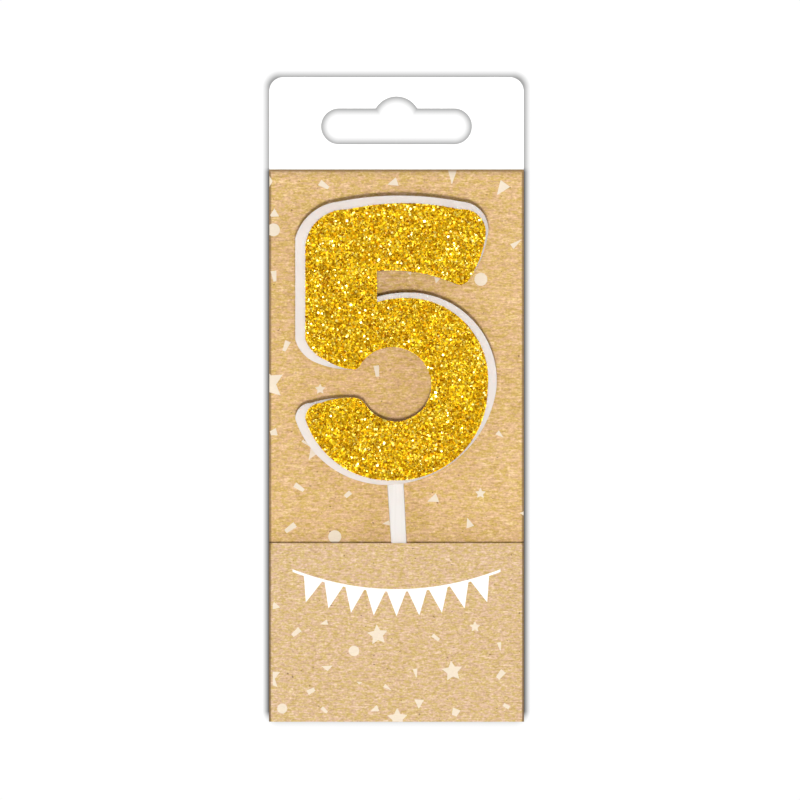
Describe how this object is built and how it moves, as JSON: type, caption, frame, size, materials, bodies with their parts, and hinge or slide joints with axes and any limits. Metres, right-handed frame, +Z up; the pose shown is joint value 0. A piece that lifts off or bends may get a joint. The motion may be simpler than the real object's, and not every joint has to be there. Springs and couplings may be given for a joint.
{
  "type": "number birthday candle on a hang card",
  "caption": "Gold-glitter numeral five birthday candle on a cake pick, held in a kraft pocket card with a hang slot for retail display.",
  "frame": {"origin": "crown of the hang slot, where a peg bears, in the middle of the card's thickness", "axes": "+Z up along the card, -Y out of its printed front, +X to the right seen from the front"},
  "size_m": [0.054, 0.0107, 0.1366],
  "materials": {
    "white_card": "smooth coated white board",
    "kraft_board": "uncoated brown kraft with fine fibres",
    "kraft_pocket_board": "uncoated brown kraft with fine fibres",
    "glue": "dried clear craft glue",
    "pad_foam": "white closed-cell foam, adhesive both sides",
    "wax": "white paraffin wax, soft satin",
    "gold_glitter": "coarse gold glitter flakes",
    "pick_plastic": "moulded white plastic, satin",
    "wick_cotton": "waxed braided cotton"
  },
  "bodies": {
    "pack": {"hang_card": "white_card", "kraft_liner": "kraft_board", "kraft_pocket": "kraft_pocket_board", "pocket_glue": "glue", "foam_pads": "pad_foam"},
    "candle": {"wax_body": "wax", "glitter_face": "gold_glitter", "pick": "pick_plastic", "wick_core": "wick_cotton"},
    "wick_end": {"wick_tip": "wick_cotton"}
  },
  "joints": [
    {"name": "candle_lift", "type": "slide", "parent": "pack", "child": "candle", "axis": [0, 0, 1], "range_m": [0, 0.036]},
    {"name": "wick_bend", "type": "hinge", "parent": "candle", "child": "wick_end", "pos_m": [-0.0117, -0.00165, -0.0248], "axis": [0, -1, 0], "range_deg": [0, 180]}
  ]
}
